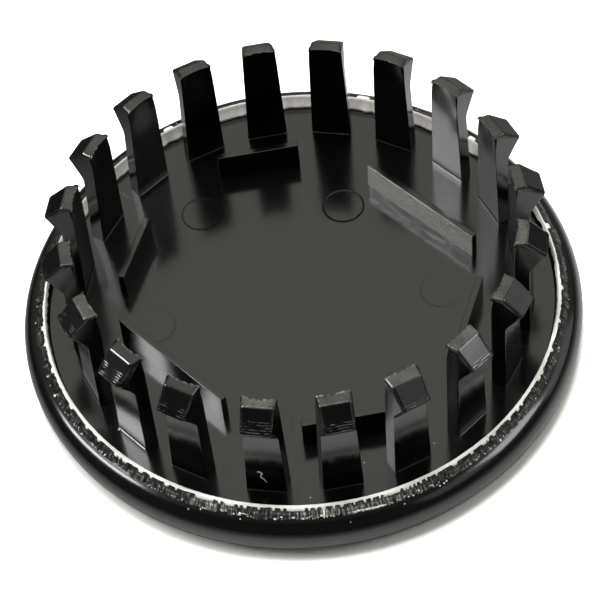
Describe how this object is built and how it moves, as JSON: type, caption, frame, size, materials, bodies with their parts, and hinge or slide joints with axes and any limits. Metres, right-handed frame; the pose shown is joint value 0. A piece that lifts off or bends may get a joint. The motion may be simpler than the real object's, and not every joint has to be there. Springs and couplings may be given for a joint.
{
  "type": "wheel centre cap",
  "caption": "Round snap-in wheel centre cap with a thick rounded rim and a ring of barbed snap fingers around straight locating walls.",
  "frame": {"origin": "middle of the front face, in the plane it rests on", "axes": "+Z along the cap's axis, from the front face towards the tips of the snap fingers"},
  "size_m": [0.062, 0.062, 0.0186],
  "materials": {
    "cap_plastic": "glossy black injection-moulded nylon blend"
  },
  "bodies": {
    "root": {"centre_cap": "cap_plastic"}
  },
  "joints": []
}
